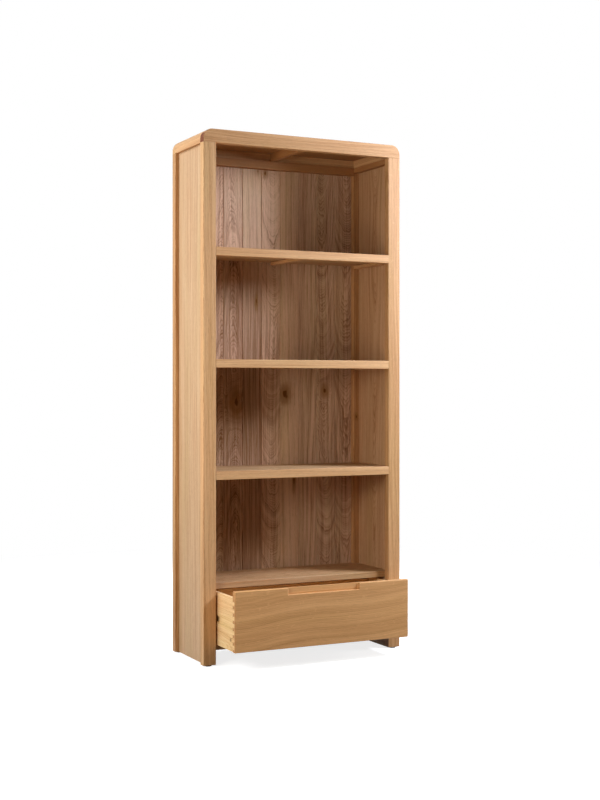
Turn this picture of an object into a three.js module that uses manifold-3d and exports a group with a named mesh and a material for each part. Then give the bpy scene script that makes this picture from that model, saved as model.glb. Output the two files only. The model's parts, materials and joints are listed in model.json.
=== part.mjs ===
// Oak bookcase: four posts under a round-cornered top frame, three fixed shelves and one wide drawer.
// Lengths are in millimetres. X runs along the width, Y from the front to the back and Z upwards.
// The carcase is drawn with its front face at Y = 0 and its feet at Z = 0, and the drawer as if closed.

import * as THREE from "three";
import { mergeVertices } from "three/addons/utils/BufferGeometryUtils.js";
import Module from "manifold-3d";

const wasm = await Module();
wasm.setup();

// Overall size with the drawer closed
const width = 800;
const height = 1900;
const depth = 306;

// How far the drawer stands open
const drawerOpening = 154;

// Fit between pieces
const seat = 0.3; // gap that glued and seated pieces keep
const slideGap = 0.5; // gap that sliding pieces keep
const overrun = 5; // how far a cut runs past the wood

// Posts and the glides under them
const postWidth = 48;
const postThickness = 30;
const glideHeight = 4;
const glideDiameter = 24;
const glideEdge = 1;

// Top frame
const topRailHeight = 48;
const cornerRadius = 35;
const topPanelThickness = 20;
const topTongueThickness = 8;
const topTongueReach = 8;
const topBattenWidth = 24;

// Side panels, set back from the posts' outer faces and held in grooves
const panelSetback = 14;
const panelThickness = 10;
const panelTongue = 8;

// Rails under the top frame
const upperSideRailHeight = 20;
const upperBackRailHeight = 31;
const upperBackRailThickness = 27;

// Back boards
const boardCount = 9;
const boardThickness = 9;
const boardRebate = 6;
const boardTopLap = 8;
const boardChamfer = 1.6;
const boardTongueReach = 5;
const boardTongueSetback = 3.6;
const boardTongueThickness = 2.6;

// Shelves
const shelfNames = ["lower", "middle", "upper"];
const lipHeight = 30;
const shelfThickness = 18;
const lipTongueReach = 8;
const lipTongueThickness = 6;
const shelfBattenWidth = 20;
const baseShelfThickness = 22;

// Bottom frame, which carries the drawer
const bottomRailFoot = 51;
const bottomRailHeight = 21.5;
const bottomRailDepth = 38;
const bottomRailGap = 2; // between the closed drawer front and the rail behind it
const bearerWidth = 21;

// Drawer
const drawerEndGap = 7; // between each end of the drawer front and the post beside it
const drawerRearGap = 2.7; // between the closed drawer and the back
const drawerFrontThickness = 22;
const drawerFrontHeight = 210.5;
const drawerFrontDrop = 1.8; // how far the front hangs below the sides
const drawerSideThickness = 14;
const drawerSideHeight = 186;
const drawerHeadroom = 8;
const drawerBackThickness = 14;
const drawerBackInset = 6; // sides run past the back by this
const drawerBackDrop = 8; // back stops below the sides' top edges by this
const drawerBackHousing = 5;
const drawerBottomThickness = 6;
const drawerBottomRise = 12;
const drawerBottomReach = 6;

// Dovetails that join the drawer's sides to its front
const tailCount = 7;
const tailPitch = 25;
const firstTailRise = 15.5;
const tailLength = 14;
const tailTipWidth = 16.4;
const tailRootWidth = 12;
const tailCornerRadius = 6;

// Finger pull in the drawer front's top edge
const pullWidth = 286;
const pullHeight = 23;
const pullDepth = 12;
const pullCornerRadius = 8;

// Side runners and the stopped grooves that they guide
const runnerGrooveHeight = 22.5;
const runnerGrooveDepth = 7;
const runnerGrooveStart = 131; // behind the drawer front's face
const runnerFrontGap = 1.5;
const runnerBackGap = 7;

// Tenons: of the posts in the top frame, of the lips in the posts, of the bottom rails in the linings
const postTenonWidth = 30;
const postTenonThickness = 12;
const postTenonLength = 25;
const lipTenonThickness = 10;
const lipTenonHeight = 16;
const lipTenonLength = 15;
const railTenonThickness = 10;
const railTenonHeight = 10;
const railTenonLength = 12;

// Facets
const cornerSteps = 12;
const smallCornerSteps = 4;
const glideSteps = 20;

// Places that follow from the sizes above
const halfWidth = width / 2;
const innerX = halfWidth - postWidth;
const panelOuterX = halfWidth - panelSetback;
const panelInnerX = panelOuterX - panelThickness;
const postFoot = glideHeight;
const postTop = height - topRailHeight;
const backPostFront = depth - postThickness;
const boardFront = depth - boardThickness;
const backFace = boardFront - seat;
const betweenPosts = [postThickness + seat, backPostFront - seat];
const clearWidth = [-innerX + seat, innerX - seat];

const bottomRailTop = bottomRailFoot + bottomRailHeight;
const drawerSideFoot = bottomRailTop + slideGap;
const drawerSideTop = drawerSideFoot + drawerSideHeight;
const drawerSideMiddle = (drawerSideFoot + drawerSideTop) / 2;
const drawerFrontFoot = drawerSideFoot - drawerFrontDrop;
const drawerFrontTop = drawerFrontFoot + drawerFrontHeight;
const drawerOuterX = innerX - drawerEndGap;
const drawerInnerX = drawerOuterX - drawerSideThickness;
const drawerShoulder = drawerFrontThickness + seat;
const drawerDepth = backFace - drawerRearGap;
const drawerBackFront = drawerDepth - drawerBackInset - drawerBackThickness;
const drawerBottomFoot = drawerSideFoot + drawerBottomRise;
const drawerBottomTop = drawerBottomFoot + drawerBottomThickness;
const drawerBackFoot = drawerBottomTop + seat;

const baseShelfFoot = drawerSideTop + drawerHeadroom;
const baseShelfTop = baseShelfFoot + baseShelfThickness;
const shelfCount = shelfNames.length;
const bayHeight = (postTop - baseShelfTop - shelfCount * lipHeight) / (shelfCount + 1);
const shelfPlaces = shelfNames.map((name, index) => ({
  name,
  top: baseShelfTop + (index + 1) * (bayHeight + lipHeight),
}));

const sides = [
  { name: "left", sign: -1 },
  { name: "right", sign: 1 },
];

const finishes = {
  oak: { color: 0xd9b080, roughness: 0.55, metalness: 0 },
  oakPanel: { color: 0xe0bb90, roughness: 0.55, metalness: 0 },
  oakBack: { color: 0xb98d63, roughness: 0.6, metalness: 0 },
  drawerWood: { color: 0xecc892, roughness: 0.6, metalness: 0 },
  plywood: { color: 0xdcbf93, roughness: 0.65, metalness: 0 },
  hardwood: { color: 0xc89a66, roughness: 0.6, metalness: 0 },
  plastic: { color: 0x2b2320, roughness: 0.6, metalness: 0 },
};

// The whole numbers from zero up to a count
function upTo(count) {
  return [...Array(count).keys()];
}

// A named piece with a material of its own
function piece(name, finish, geometry) {
  const mesh = new THREE.Mesh(geometry, new THREE.MeshStandardMaterial(finishes[finish]));
  mesh.name = name;
  return mesh;
}

// A square-edged block between low and high places along each axis
function block([xLow, xHigh], [yLow, yHigh], [zLow, zHigh]) {
  const geometry = new THREE.BoxGeometry(xHigh - xLow, yHigh - yLow, zHigh - zLow);
  return geometry.translate((xLow + xHigh) / 2, (yLow + yHigh) / 2, (zLow + zHigh) / 2);
}

// The span between two distances from the middle, on the left or the right
function spanOn(side, inner, outer) {
  return [inner * side.sign, outer * side.sign].sort((low, high) => low - high);
}

// A solid that can be cut and joined, from a closed geometry
function solidOf(geometry) {
  const bare = geometry.clone();
  bare.deleteAttribute("normal");
  bare.deleteAttribute("uv");
  const welded = mergeVertices(bare);
  return new wasm.Manifold(new wasm.Mesh({
    numProp: 3,
    vertProperties: new Float32Array(welded.attributes.position.array),
    triVerts: new Uint32Array(welded.index.array),
  }));
}

// A solid's surface as a geometry
function geometryOf(solid) {
  const mesh = solid.getMesh();
  const geometry = new THREE.BufferGeometry();
  geometry.setAttribute("position", new THREE.BufferAttribute(mesh.vertProperties, mesh.numProp));
  geometry.setIndex(new THREE.BufferAttribute(mesh.triVerts, 1));
  geometry.computeVertexNormals();
  return geometry;
}

function cutFrom(geometry, cutters) {
  const cut = cutters.reduce((solid, cutter) => solid.subtract(solidOf(cutter)), solidOf(geometry));
  return geometryOf(cut);
}

function joined(geometries) {
  const solids = geometries.map(solidOf);
  return geometryOf(solids.reduce((solid, other) => solid.add(other)));
}

function extruded(shape, length, steps = smallCornerSteps) {
  return new THREE.ExtrudeGeometry(shape, { depth: length, bevelEnabled: false, curveSegments: steps });
}

// Prisms: the outline's own axes are X and Y, X and Z, or Y and Z
function prismAlongZ(shape, [low, high], steps) {
  return extruded(shape, high - low, steps).translate(0, 0, low);
}

function prismAlongY(shape, [low, high], steps) {
  return extruded(shape, high - low, steps).rotateX(Math.PI / 2).translate(0, high, 0);
}

function prismAlongX(shape, [low, high], steps) {
  const turn = new THREE.Matrix4().makeBasis(
    new THREE.Vector3(0, 1, 0),
    new THREE.Vector3(0, 0, 1),
    new THREE.Vector3(1, 0, 0),
  );
  return extruded(shape, high - low, steps).applyMatrix4(turn).translate(low, 0, 0);
}

function outline(points) {
  return new THREE.Shape(points.map(([across, up]) => new THREE.Vector2(across, up)));
}

// A span of a given size about a middle, grown at both ends for the piece that receives it
function about(middle, size, growth = 0) {
  return [middle - size / 2 - growth, middle + size / 2 + growth];
}

const frontPostMiddle = postThickness / 2;
const backPostMiddle = depth - postThickness / 2;
const postMiddleX = (innerX + halfWidth) / 2;
const postSpanZ = [postFoot, postTop - seat];
const panelGrooveX = [panelInnerX - seat, panelOuterX + seat];

// Each post ends in a tenon that stands in the top frame
function postTenon(side, middleY) {
  return block(
    about(side.sign * postMiddleX, postTenonWidth),
    about(middleY, postTenonThickness),
    [postTop - postTenonLength, postTop + postTenonLength - seat],
  );
}

function postMortise(side, middleY) {
  return block(
    about(side.sign * postMiddleX, postTenonWidth, seat),
    about(middleY, postTenonThickness, seat),
    [postTop - overrun, postTop + postTenonLength],
  );
}

// The mortises in the front posts for the ends of the shelves' lips
function lipMortises(side) {
  return shelfPlaces.map(({ top }) => block(
    spanOn(side, innerX - overrun, innerX + lipTenonLength),
    about(frontPostMiddle, lipTenonThickness, seat),
    about(top - lipHeight / 2, lipTenonHeight, seat),
  ));
}

// Front posts, grooved for the side panels
function frontPost(side) {
  const shaft = block(spanOn(side, innerX, halfWidth), [0, postThickness], postSpanZ);
  const body = joined([shaft, postTenon(side, frontPostMiddle)]);
  const groove = block(
    spanOn(side, ...panelGrooveX),
    [postThickness - panelTongue, postThickness + overrun],
    [postFoot - overrun, postTop + overrun],
  );
  return piece(`front_post_${side.name}`, "oak", cutFrom(body, [groove, ...lipMortises(side)]));
}

// Back posts, grooved for the side panels and rebated for the back boards
function backPost(side) {
  const shaft = block(spanOn(side, innerX, halfWidth), [backPostFront, depth], postSpanZ);
  const body = joined([shaft, postTenon(side, backPostMiddle)]);
  const groove = block(
    spanOn(side, ...panelGrooveX),
    [backPostFront - overrun, backPostFront + panelTongue],
    [postFoot - overrun, postTop + overrun],
  );
  const rebate = block(
    spanOn(side, innerX - overrun, innerX + boardRebate + seat),
    [boardFront - seat, depth + overrun],
    [bottomRailFoot - seat, postTop + overrun],
  );
  return piece(`back_post_${side.name}`, "oak", cutFrom(body, [groove, rebate]));
}

// Side panels, held in the posts' grooves and in the top frame
function sidePanel(side) {
  return piece(`side_panel_${side.name}`, "oakPanel", block(
    spanOn(side, panelInnerX, panelOuterX),
    [postThickness - panelTongue + seat, backPostFront + panelTongue - seat],
    [postFoot, postTop + panelTongue - seat],
  ));
}

// Top frame: rails with rounded top corners, and side rails that carry the rounding to the back
const topTongueLow = height - (topPanelThickness + topTongueThickness) / 2;
const topTongueSpan = [topTongueLow, topTongueLow + topTongueThickness];
const topGrooveSpan = [topTongueSpan[0] - seat, topTongueSpan[1] + seat];

function crossRailOutline() {
  const shape = new THREE.Shape();
  shape.moveTo(-halfWidth, postTop);
  shape.lineTo(halfWidth, postTop);
  shape.lineTo(halfWidth, height - cornerRadius);
  shape.absarc(halfWidth - cornerRadius, height - cornerRadius, cornerRadius, 0, Math.PI / 2);
  shape.lineTo(-halfWidth + cornerRadius, height);
  shape.absarc(-halfWidth + cornerRadius, height - cornerRadius, cornerRadius, Math.PI / 2, Math.PI);
  return shape;
}

function sideRailOutline(side) {
  const right = new THREE.Shape();
  right.moveTo(innerX, postTop);
  right.lineTo(halfWidth, postTop);
  right.lineTo(halfWidth, height - cornerRadius);
  right.absarc(halfWidth - cornerRadius, height - cornerRadius, cornerRadius, 0, Math.PI / 2);
  right.lineTo(innerX, height);
  const mirrored = right.getPoints(cornerSteps).map((point) => [side.sign * point.x, point.y]);
  return outline(mirrored);
}

// The grooves in a cross rail for the tongues of the top panel and the side panels
function crossRailGrooves(topTongueY, panelTongueY) {
  const topGroove = block([-innerX - topTongueReach, innerX + topTongueReach], topTongueY, topGrooveSpan);
  const panelGrooves = sides.map((side) => block(
    spanOn(side, ...panelGrooveX),
    panelTongueY,
    [postTop - overrun, postTop + panelTongue],
  ));
  return [topGroove, ...panelGrooves];
}

function topCrossRail(name, spanY, middleY, cutters) {
  const body = prismAlongY(crossRailOutline(), spanY, cornerSteps);
  const mortises = sides.map((side) => postMortise(side, middleY));
  return piece(name, "oak", cutFrom(body, [...cutters, ...mortises]));
}

function topFrame() {
  const frontGrooves = crossRailGrooves(
    [postThickness - topTongueReach, postThickness + overrun],
    [postThickness - panelTongue, postThickness + overrun],
  );
  const backGrooves = crossRailGrooves(
    [backPostFront - overrun, backPostFront + topTongueReach],
    [backPostFront - overrun, backPostFront + panelTongue],
  );
  const boardLap = block(
    [-innerX - boardRebate - seat, innerX + boardRebate + seat],
    [boardFront - seat, depth + overrun],
    [postTop - overrun, postTop + boardTopLap],
  );
  return [
    topCrossRail("top_front_rail", [0, postThickness], frontPostMiddle, frontGrooves),
    topCrossRail("top_back_rail", [backPostFront, depth], backPostMiddle, [...backGrooves, boardLap]),
    ...sides.map(topSideRail),
  ];
}

function topSideRail(side) {
  const body = prismAlongY(sideRailOutline(side), betweenPosts);
  const pastEnds = [postThickness - overrun, backPostFront + overrun];
  const panelGroove = block(
    spanOn(side, ...panelGrooveX),
    pastEnds,
    [postTop - overrun, postTop + panelTongue],
  );
  const topGroove = block(
    spanOn(side, innerX - overrun, innerX + topTongueReach),
    pastEnds,
    topGrooveSpan,
  );
  return piece(`top_side_rail_${side.name}`, "oak", cutFrom(body, [panelGroove, topGroove]));
}

// Top panel with a tongue all round, and the batten that stiffens it
function topPanel() {
  const field = block(clearWidth, betweenPosts, [height - topPanelThickness, height]);
  const reach = topTongueReach - seat;
  const tongue = block(
    [-innerX - reach, innerX + reach],
    [postThickness - reach, backPostFront + reach],
    topTongueSpan,
  );
  return piece("top_panel", "oakPanel", joined([field, tongue]));
}

function topBatten() {
  return piece("top_batten", "oak", block(
    about(0, topBattenWidth),
    betweenPosts,
    [postTop, height - topPanelThickness - seat],
  ));
}

// Rails inside the carcase, under the top frame
function upperSideRail(side) {
  return piece(`upper_side_rail_${side.name}`, "oak", block(
    spanOn(side, innerX, panelInnerX - seat),
    betweenPosts,
    [postTop - upperSideRailHeight, postTop - seat],
  ));
}

function upperBackRail() {
  return piece("upper_back_rail", "oak", block(
    clearWidth,
    [backFace - upperBackRailThickness, backFace],
    [postTop - upperBackRailHeight, postTop - seat],
  ));
}

// Back boards: tongued and grooved, with their front edges chamfered to a V
function backBoard(index) {
  const spread = 2 * (innerX + boardRebate);
  const pitch = spread / boardCount;
  const left = -spread / 2 + index * pitch + seat / 2;
  const right = left + pitch - seat;
  const back = depth;
  const tongueFront = boardFront + boardTongueSetback;
  const tongueBack = tongueFront + boardTongueThickness;
  const points = [];
  if (index === 0) {
    points.push([left, back], [left, boardFront]);
  } else {
    points.push(
      [left, back],
      [left, tongueBack + seat],
      [left + boardTongueReach, tongueBack + seat],
      [left + boardTongueReach, tongueFront - seat],
      [left, tongueFront - seat],
      [left, boardFront + boardChamfer],
      [left + boardChamfer, boardFront],
    );
  }
  if (index === boardCount - 1) {
    points.push([right, boardFront], [right, back]);
  } else {
    points.push(
      [right - boardChamfer, boardFront],
      [right, boardFront + boardChamfer],
      [right, tongueFront],
      [right + boardTongueReach, tongueFront],
      [right + boardTongueReach, tongueBack],
      [right, tongueBack],
      [right, back],
    );
  }
  const spanZ = [bottomRailFoot, postTop + boardTopLap - seat];
  return piece(`back_board_${index + 1}`, "oakBack", prismAlongZ(outline(points), spanZ));
}

// A shelf fills the carcase: wide between the posts, narrow between the back posts
function shelfOutline(front) {
  const wide = panelInnerX - seat;
  const narrow = innerX - seat;
  const step = backPostFront - seat;
  return outline([
    [-wide, front],
    [wide, front],
    [wide, step],
    [narrow, step],
    [narrow, backFace],
    [-narrow, backFace],
    [-narrow, step],
    [-wide, step],
  ]);
}

// A shelf's front lip, tenoned into the posts and grooved for the shelf's panel
function shelfLip(name, top) {
  const middle = top - shelfThickness / 2;
  const bar = block(clearWidth, [0, postThickness], [top - lipHeight, top]);
  const reach = innerX + lipTenonLength - seat;
  const tenons = block(
    [-reach, reach],
    about(frontPostMiddle, lipTenonThickness),
    about(top - lipHeight / 2, lipTenonHeight),
  );
  const groove = block(
    [-innerX - overrun, innerX + overrun],
    [postThickness - lipTongueReach, postThickness + overrun],
    about(middle, lipTongueThickness, seat),
  );
  return piece(`${name}_shelf_lip`, "oak", cutFrom(joined([bar, tenons]), [groove]));
}

function shelfPanel(name, top) {
  const field = prismAlongZ(shelfOutline(betweenPosts[0]), [top - shelfThickness, top]);
  const middle = top - shelfThickness / 2;
  const tongue = block(
    clearWidth,
    [postThickness - lipTongueReach + seat, postThickness + lipTongueReach],
    about(middle, lipTongueThickness),
  );
  return piece(`${name}_shelf_panel`, "oakPanel", joined([field, tongue]));
}

// The batten under a shelf's middle and the cleats that carry its ends
function shelfBattens(name, top) {
  const spanZ = [top - lipHeight, top - shelfThickness - seat];
  const batten = piece(
    `${name}_shelf_batten`,
    "oak",
    block(about(0, shelfBattenWidth), betweenPosts, spanZ),
  );
  const cleats = sides.map((side) => piece(
    `${name}_shelf_cleat_${side.name}`,
    "oak",
    block(spanOn(side, innerX, panelInnerX - seat), betweenPosts, spanZ),
  ));
  return [batten, ...cleats];
}

function shelf({ name, top }) {
  const group = new THREE.Group();
  group.add(shelfLip(name, top), shelfPanel(name, top), ...shelfBattens(name, top));
  return group;
}

// The base shelf closes the drawer's compartment, just behind the drawer front
function baseShelf() {
  const front = Math.max(postThickness, drawerFrontThickness) + seat;
  const body = prismAlongZ(shelfOutline(front), [baseShelfFoot, baseShelfTop]);
  return piece("base_shelf", "oakPanel", body);
}

// Bottom frame: two rails and the bearers that the drawer's sides slide on
const bottomRailSpanZ = [bottomRailFoot, bottomRailTop];
const bottomRailFront = drawerFrontThickness + bottomRailGap;
const bottomFrontRailY = [bottomRailFront, bottomRailFront + bottomRailDepth];
const bottomBackRailY = [backFace - bottomRailDepth, backFace];

// A bottom rail's tenons pass into the linings, between the posts
function railTenonY(spanY, growth) {
  const front = Math.max(spanY[0], betweenPosts[0]);
  const back = Math.min(spanY[1], betweenPosts[1]);
  return about((front + back) / 2, railTenonThickness, growth);
}

function bottomRail(name, spanY) {
  const reach = innerX + railTenonLength - seat;
  const tenons = block(
    [-reach, reach],
    railTenonY(spanY),
    about((bottomRailFoot + bottomRailTop) / 2, railTenonHeight),
  );
  return piece(name, "oak", joined([block(clearWidth, spanY, bottomRailSpanZ), tenons]));
}

function railMortise(side, spanY) {
  return block(
    spanOn(side, innerX - overrun, innerX + railTenonLength),
    railTenonY(spanY, seat),
    about((bottomRailFoot + bottomRailTop) / 2, railTenonHeight, seat),
  );
}

function drawerBearer(side) {
  return piece(`drawer_bearer_${side.name}`, "hardwood", block(
    spanOn(side, innerX - seat - bearerWidth, innerX - seat),
    [bottomFrontRailY[1] + seat, bottomBackRailY[0] - seat],
    bottomRailSpanZ,
  ));
}

// Side runners: round-nosed strips fixed to the linings beside the drawer
const runnerFaceX = drawerOuterX - runnerGrooveDepth + slideGap;
const runnerBackX = innerX - seat;
const runnerSpanY = [runnerGrooveStart + runnerFrontGap, backFace - runnerBackGap];
const runnerHalfHeight = runnerGrooveHeight / 2 - slideGap;

// A bar's outline in Y and Z, round at the front and square at the back
function roundNosed([front, back], halfHeight, middle) {
  const shape = new THREE.Shape();
  shape.moveTo(back, middle - halfHeight);
  shape.lineTo(back, middle + halfHeight);
  shape.lineTo(front + halfHeight, middle + halfHeight);
  shape.absarc(front + halfHeight, middle, halfHeight, Math.PI / 2, 3 * Math.PI / 2);
  return shape;
}

function drawerRunner(side) {
  const nose = roundNosed(runnerSpanY, runnerHalfHeight, drawerSideMiddle);
  const body = prismAlongX(nose, spanOn(side, runnerFaceX, runnerBackX), cornerSteps);
  return piece(`drawer_runner_${side.name}`, "hardwood", body);
}

// Linings fill the sides of the drawer's compartment out to the posts' inner faces
function drawerLining(side) {
  const body = block(
    spanOn(side, innerX, panelInnerX - seat),
    betweenPosts,
    [postFoot, baseShelfFoot - seat],
  );
  const mortises = [bottomFrontRailY, bottomBackRailY].map((spanY) => railMortise(side, spanY));
  return piece(`drawer_lining_${side.name}`, "oakPanel", cutFrom(body, mortises));
}

// One dovetail's outline in Y and Z, drawn downwards from its root round its tip and back
function traceTail(path, middle, growth) {
  const root = drawerShoulder;
  const tip = drawerFrontThickness - tailLength - growth;
  const rootHalf = tailRootWidth / 2 + growth;
  const tipHalf = tailTipWidth / 2 + growth;
  const flank = new THREE.Vector2(root - tip, rootHalf - tipHalf).setLength(tailCornerRadius);
  path.lineTo(root, middle + rootHalf);
  path.lineTo(tip + flank.x, middle + tipHalf + flank.y);
  path.quadraticCurveTo(tip, middle + tipHalf, tip, middle + tipHalf - tailCornerRadius);
  path.lineTo(tip, middle - tipHalf + tailCornerRadius);
  path.quadraticCurveTo(tip, middle - tipHalf, tip + flank.x, middle - tipHalf - flank.y);
  path.lineTo(root, middle - rootHalf);
}

const tailMiddles = upTo(tailCount).map((index) => drawerSideFoot + firstTailRise + index * tailPitch);

function drawerSideOutline() {
  const shape = new THREE.Shape();
  shape.moveTo(drawerShoulder, drawerSideFoot);
  shape.lineTo(drawerDepth, drawerSideFoot);
  shape.lineTo(drawerDepth, drawerSideTop);
  shape.lineTo(drawerShoulder, drawerSideTop);
  tailMiddles.toReversed().forEach((middle) => traceTail(shape, middle, 0));
  return shape;
}

// A socket is a tail grown by the seating gap, open towards the back of the front
function socketOutline(middle) {
  const shape = new THREE.Shape();
  const rootHalf = tailRootWidth / 2 + seat;
  shape.moveTo(drawerFrontThickness + overrun, middle - rootHalf);
  shape.lineTo(drawerFrontThickness + overrun, middle + rootHalf);
  traceTail(shape, middle, seat);
  return shape;
}

const bottomGrooveSpanZ = [drawerBottomFoot - seat, drawerBottomTop + seat];

// Drawer sides: dovetailed at the front, grooved for the bottom, the back and the runners
function drawerSide(side) {
  const body = prismAlongX(drawerSideOutline(), spanOn(side, drawerInnerX, drawerOuterX));
  const bottomGroove = block(
    spanOn(side, drawerInnerX - overrun, drawerInnerX + drawerBottomReach),
    [drawerShoulder, drawerDepth + overrun],
    bottomGrooveSpanZ,
  );
  const backHousing = block(
    spanOn(side, drawerInnerX - overrun, drawerInnerX + drawerBackHousing),
    [drawerBackFront - seat, drawerBackFront + drawerBackThickness + seat],
    [drawerBackFoot - seat, drawerSideTop + overrun],
  );
  const nose = roundNosed(
    [runnerGrooveStart, drawerDepth + overrun],
    runnerGrooveHeight / 2,
    drawerSideMiddle,
  );
  const runnerGroove = prismAlongX(
    nose,
    spanOn(side, drawerOuterX - runnerGrooveDepth, drawerOuterX + overrun),
    cornerSteps,
  );
  const cutters = [bottomGroove, backHousing, runnerGroove];
  return piece(`drawer_side_${side.name}`, "drawerWood", cutFrom(body, cutters));
}

// The finger pull is a rebate in the front's top edge, with rounded inner corners
function fingerPull() {
  const half = pullWidth / 2;
  const cornerX = half - pullCornerRadius;
  const cornerY = pullDepth - pullCornerRadius;
  const shape = new THREE.Shape();
  shape.moveTo(-half, -overrun);
  shape.lineTo(half, -overrun);
  shape.lineTo(half, cornerY);
  shape.absarc(cornerX, cornerY, pullCornerRadius, 0, Math.PI / 2);
  shape.lineTo(-cornerX, pullDepth);
  shape.absarc(-cornerX, cornerY, pullCornerRadius, Math.PI / 2, Math.PI);
  return prismAlongZ(shape, [drawerFrontTop - pullHeight, drawerFrontTop + overrun]);
}

function drawerFront() {
  const body = block(
    [-drawerOuterX, drawerOuterX],
    [0, drawerFrontThickness],
    [drawerFrontFoot, drawerFrontTop],
  );
  const sockets = sides.flatMap((side) => tailMiddles.map((middle) => prismAlongX(
    socketOutline(middle),
    spanOn(side, drawerInnerX - seat, drawerOuterX + overrun),
  )));
  const bottomGroove = block(
    [-drawerInnerX, drawerInnerX],
    [drawerFrontThickness - drawerBottomReach, drawerFrontThickness + overrun],
    bottomGrooveSpanZ,
  );
  return piece("drawer_front", "oak", cutFrom(body, [...sockets, bottomGroove, fingerPull()]));
}

function drawerBack() {
  const reach = drawerInnerX + drawerBackHousing - seat;
  return piece("drawer_back", "drawerWood", block(
    [-reach, reach],
    [drawerBackFront, drawerBackFront + drawerBackThickness],
    [drawerBackFoot, drawerSideTop - drawerBackDrop],
  ));
}

// The bottom slides in from behind, under the back, and is narrower where it enters the front
function drawerBottom() {
  const wide = drawerInnerX + drawerBottomReach - seat;
  const narrow = drawerInnerX - seat;
  const front = drawerFrontThickness - drawerBottomReach + seat;
  const step = drawerShoulder + seat;
  const back = drawerBackFront + drawerBackThickness;
  const shape = outline([
    [-narrow, front],
    [narrow, front],
    [narrow, step],
    [wide, step],
    [wide, back],
    [-wide, back],
    [-wide, step],
    [-narrow, step],
  ]);
  return piece("drawer_bottom", "plywood", prismAlongZ(shape, [drawerBottomFoot, drawerBottomTop]));
}

// Glides: discs with a bevelled lower edge, one under each post
function glide(name, x, y) {
  const radius = glideDiameter / 2;
  const top = glideHeight - seat;
  const profile = [
    new THREE.Vector2(0, 0),
    new THREE.Vector2(radius - glideEdge, 0),
    new THREE.Vector2(radius, glideEdge),
    new THREE.Vector2(radius, top),
    new THREE.Vector2(0, top),
  ];
  const disc = piece(name, "plastic", new THREE.LatheGeometry(profile, glideSteps));
  disc.rotation.x = Math.PI / 2;
  disc.position.set(x, y, 0);
  return disc;
}

function glidesOn(side) {
  const x = side.sign * postMiddleX;
  return [
    glide(`front_glide_${side.name}`, x, frontPostMiddle),
    glide(`back_glide_${side.name}`, x, backPostMiddle),
  ];
}

const carcase = new THREE.Group();
carcase.add(...sides.flatMap((side) => [frontPost(side), backPost(side), sidePanel(side)]));
carcase.add(...topFrame(), topPanel(), topBatten());
carcase.add(...sides.map(upperSideRail), upperBackRail());
carcase.add(...upTo(boardCount).map(backBoard));
carcase.add(baseShelf(), ...sides.flatMap((side) => [drawerLining(side), drawerBearer(side)]));
carcase.add(bottomRail("bottom_front_rail", bottomFrontRailY));
carcase.add(bottomRail("bottom_back_rail", bottomBackRailY));
carcase.add(...sides.flatMap((side) => [drawerRunner(side), ...glidesOn(side)]));

const shelves = new THREE.Group();
shelves.add(...shelfPlaces.map(shelf));

const drawer = new THREE.Group();
drawer.add(drawerFront(), ...sides.map(drawerSide), drawerBack(), drawerBottom());
drawer.position.y = -drawerOpening;

// The origin lies under the middle of the bookcase as it stands, with its drawer open
const bookcase = new THREE.Group();
bookcase.name = "bookcase";
bookcase.add(carcase, shelves, drawer);
bookcase.position.y = (drawerOpening - depth) / 2;

export default bookcase;
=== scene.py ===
"""A tall oak bookcase with fixed shelves and a wide bottom drawer, finished around its frame.

Lengths are in metres in the frame's own axes. X runs along the width, Y from the front to the back
and Z upwards.
"""

import json
import logging
import math
import random
from collections.abc import Callable, Iterable, Iterator
from contextlib import contextmanager
from dataclasses import dataclass, field, replace
from enum import Enum

import bmesh
import bpy
from mathutils import Matrix, Vector


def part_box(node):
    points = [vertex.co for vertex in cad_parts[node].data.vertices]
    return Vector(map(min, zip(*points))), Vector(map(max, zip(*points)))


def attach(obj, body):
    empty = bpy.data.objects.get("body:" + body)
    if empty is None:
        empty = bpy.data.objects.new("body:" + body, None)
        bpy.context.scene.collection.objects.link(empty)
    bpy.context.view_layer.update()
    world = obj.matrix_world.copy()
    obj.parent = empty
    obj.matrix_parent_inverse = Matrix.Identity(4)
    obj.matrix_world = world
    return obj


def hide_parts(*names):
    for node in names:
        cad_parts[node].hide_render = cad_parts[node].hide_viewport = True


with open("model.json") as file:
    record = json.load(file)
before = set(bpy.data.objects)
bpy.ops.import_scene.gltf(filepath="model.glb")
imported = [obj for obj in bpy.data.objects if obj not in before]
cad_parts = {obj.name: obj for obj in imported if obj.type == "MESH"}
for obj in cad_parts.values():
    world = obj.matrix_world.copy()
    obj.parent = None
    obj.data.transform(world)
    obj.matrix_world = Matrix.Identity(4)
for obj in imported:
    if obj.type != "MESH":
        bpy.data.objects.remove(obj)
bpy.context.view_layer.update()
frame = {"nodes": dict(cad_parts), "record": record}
BODIES: dict[str, list[str]] = frame["record"]["behaviour"]["bodies"]

LOG = logging.getLogger("bookcase")

MM = 0.001
X, Y, Z = range(3)
SIDES = ("left", "right")
ROWS = ("front", "back")
SHELVES = ("lower", "middle", "upper")

Colour = tuple[float, float, float]
Place = tuple[float, float, float]
Rates = tuple[float, float, float]
Span = tuple[float, float]
Key = int | str
Piece = bpy.types.Object
Edge = bmesh.types.BMEdge


def colour(code: str) -> Colour:
    """Turn a colour written as six hexadecimal digits into the linear one that shaders use.

    Args:
        code: Red, green and blue as two digits each, after a hash.

    Returns:
        The linear red, green and blue.
    """
    shares = [int(code[start:start + 2], 16) / 255 for start in (1, 3, 5)]
    return tuple(s / 12.92 if s <= 0.04045 else ((s + 0.055) / 1.055) ** 2.4 for s in shares)


# Shader maths


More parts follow.
